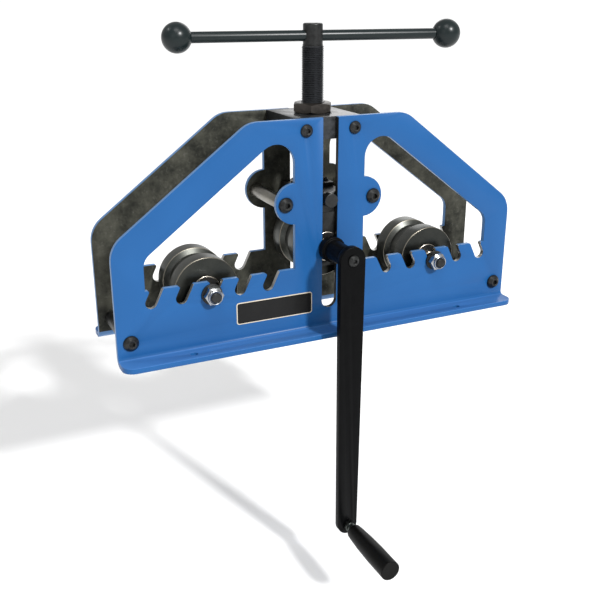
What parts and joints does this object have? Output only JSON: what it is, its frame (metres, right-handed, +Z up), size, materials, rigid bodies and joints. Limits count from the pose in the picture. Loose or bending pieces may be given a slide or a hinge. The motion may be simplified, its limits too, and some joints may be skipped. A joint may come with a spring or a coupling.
{
  "type": "rebar bender",
  "caption": "Hand-cranked roll bender for reinforcing bar: blue folded side plates with open axle slots, grooved idler rolls, and a keyed drive roll pressed down by a T-handled screw.",
  "frame": {"origin": "on the press screw's axis, midway between the side plates, in the plane of the feet's undersides", "axes": "+Z up along the press screw; +X along the side plates, to the right as seen from the crank; -Y towards the crank and its grip"},
  "size_m": [0.508, 0.276, 0.6014],
  "materials": {
    "blue_paint": "semi-gloss powder coat",
    "black_steel": "black oxide, satin",
    "black_paint": "satin black enamel",
    "bright_steel": "turned, lightly oiled",
    "zinc_plate": "bright zinc plate",
    "roll_steel": "turned and blackened",
    "blued_steel": "blued, polished",
    "grip_plastic": "fine matt"
  },
  "bodies": {
    "frame": {"front_side_plate": "blue_paint", "rear_side_plate": "blue_paint", "bridge_block": "black_paint", "bridge_screw_front_left": "black_steel", "ear_screw_front_left": "black_steel", "corner_screw_front_left": "black_steel", "bridge_screw_front_right": "black_steel", "ear_screw_front_right": "black_steel", "corner_screw_front_right": "black_steel", "bridge_screw_rear_left": "black_steel", "ear_screw_rear_left": "black_steel", "corner_screw_rear_left": "black_steel", "bridge_screw_rear_right": "black_steel", "ear_screw_rear_right": "black_steel", "corner_screw_rear_right": "black_steel", "ear_tie_bar_left": "bright_steel", "corner_tie_bar_left": "black_steel", "ear_tie_bar_right": "bright_steel", "corner_tie_bar_right": "black_steel"},
    "lock_nut": {"screw_lock_nut": "black_steel"},
    "carriage": {"crosshead": "black_steel", "front_cheek": "black_steel", "rear_cheek": "black_steel", "shaft_bearing_front": "bright_steel", "shaft_bearing_rear": "bright_steel", "guide_screw_front": "black_steel", "guide_screw_rear": "black_steel", "screw_retainer": "black_steel", "retainer_screw_left": "black_steel", "retainer_screw_right": "black_steel"},
    "screw": {"press_screw": "black_steel"},
    "cross_handle": {"tommy_bar": "blued_steel", "ball_knob_left": "blued_steel", "ball_knob_right": "blued_steel"},
    "crank": {"drive_shaft": "bright_steel", "roll_key": "bright_steel", "centre_roll": "roll_steel", "crank_hub": "black_paint", "crank_arm": "black_paint", "arm_screw": "black_steel", "handle_stud": "zinc_plate"},
    "grip": {"handle_grip": "grip_plastic"},
    "left_axle": {"left_axle_bolt": "black_steel", "left_axle_nut": "zinc_plate", "left_washer_front": "black_steel", "left_washer_rear": "black_steel", "left_spacer_front": "bright_steel", "left_spacer_rear": "bright_steel"},
    "left_idler": {"left_roll": "roll_steel", "left_bearing_front": "bright_steel", "left_bearing_rear": "bright_steel"},
    "right_axle": {"right_axle_bolt": "black_steel", "right_axle_nut": "zinc_plate", "right_washer_front": "black_steel", "right_washer_rear": "black_steel", "right_spacer_front": "bright_steel", "right_spacer_rear": "bright_steel"},
    "right_idler": {"right_roll": "roll_steel", "right_bearing_front": "bright_steel", "right_bearing_rear": "bright_steel"}
  },
  "joints": [
    {"name": "carriage_slide", "type": "slide", "parent": "frame", "child": "carriage", "axis": [0, 0, 1], "range_m": [-0.0602, 0.0502]},
    {"name": "screw_turn", "type": "hinge", "parent": "carriage", "child": "screw", "pos_m": [0, 0, 0.25], "axis": [0, 0, 1], "range_deg": [-10800, 9000]},
    {"name": "cross_handle_slide", "type": "slide", "parent": "screw", "child": "cross_handle", "axis": [0.9895, -0.1444, 0], "range_m": [-0.13, 0.12]},
    {"name": "crank_turn", "type": "hinge", "parent": "carriage", "child": "crank", "pos_m": [0, 0, 0.101], "axis": [0, 1, 0], "continuous": true},
    {"name": "grip_turn", "type": "hinge", "parent": "crank", "child": "grip", "pos_m": [0, -0.15, -0.239], "axis": [0, 1, 0], "continuous": true},
    {"name": "lock_nut_turn", "type": "hinge", "parent": "frame", "child": "lock_nut", "pos_m": [0, 0, 0.255], "axis": [0, 0, 1], "range_deg": [0, 45]},
    {"name": "left_axle_lift", "type": "slide", "parent": "frame", "child": "left_axle", "axis": [0.4384, 0, 0.8988], "range_m": [0, 0.025]},
    {"name": "left_roll_turn", "type": "hinge", "parent": "left_axle", "child": "left_idler", "pos_m": [-0.14575, 0, 0.0668], "axis": [0, 1, 0], "continuous": true},
    {"name": "right_axle_lift", "type": "slide", "parent": "frame", "child": "right_axle", "axis": [-0.4384, 0, 0.8988], "range_m": [0, 0.025]},
    {"name": "right_roll_turn", "type": "hinge", "parent": "right_axle", "child": "right_idler", "pos_m": [0.14575, 0, 0.0668], "axis": [0, 1, 0], "continuous": true}
  ],
  "couplings": [
    {"joint": "carriage_slide", "follows": "screw_turn", "m_per_rad": 0.00031831}
  ]
}
